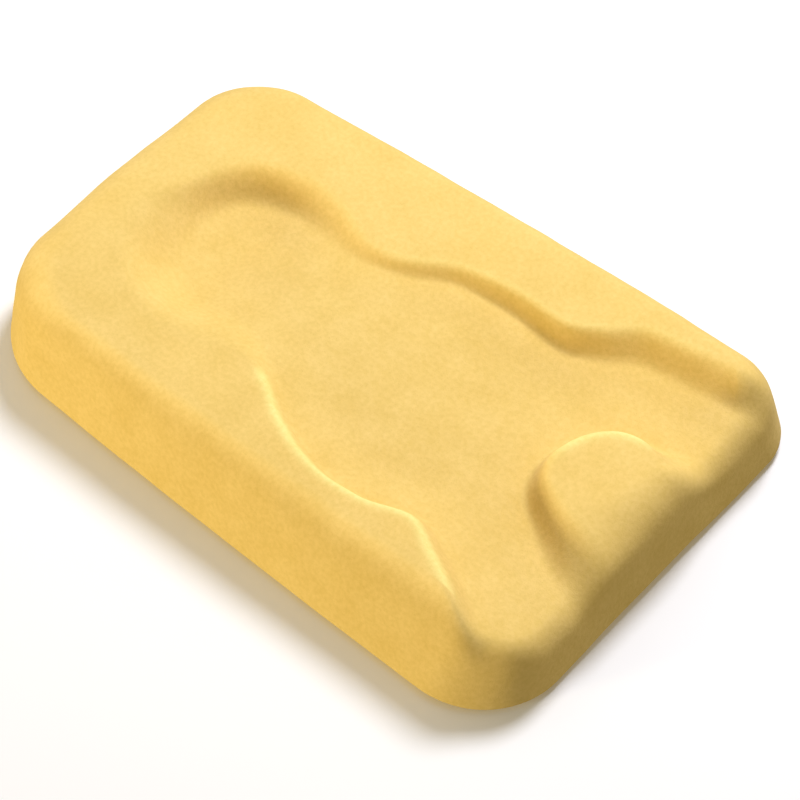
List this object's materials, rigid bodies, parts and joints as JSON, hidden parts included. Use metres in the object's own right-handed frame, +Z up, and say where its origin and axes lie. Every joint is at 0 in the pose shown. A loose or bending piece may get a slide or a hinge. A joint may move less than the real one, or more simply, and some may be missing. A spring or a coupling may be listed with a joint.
{
  "type": "foam infant bath support",
  "caption": "Soft foam block with a body-shaped recess that holds a baby on its back in a bath, with two open leg channels and a low ridge between them.",
  "frame": {"origin": "middle of the underside, on the surface it rests on", "axes": "+X along the length towards the foot end, +Y towards the baby's left side, +Z up"},
  "size_m": [0.6119, 0.4142, 0.096],
  "materials": {
    "foam": "matte, soft open-cell foam, pale warm yellow"
  },
  "bodies": {
    "root": {"foam_body": "foam"}
  },
  "joints": []
}
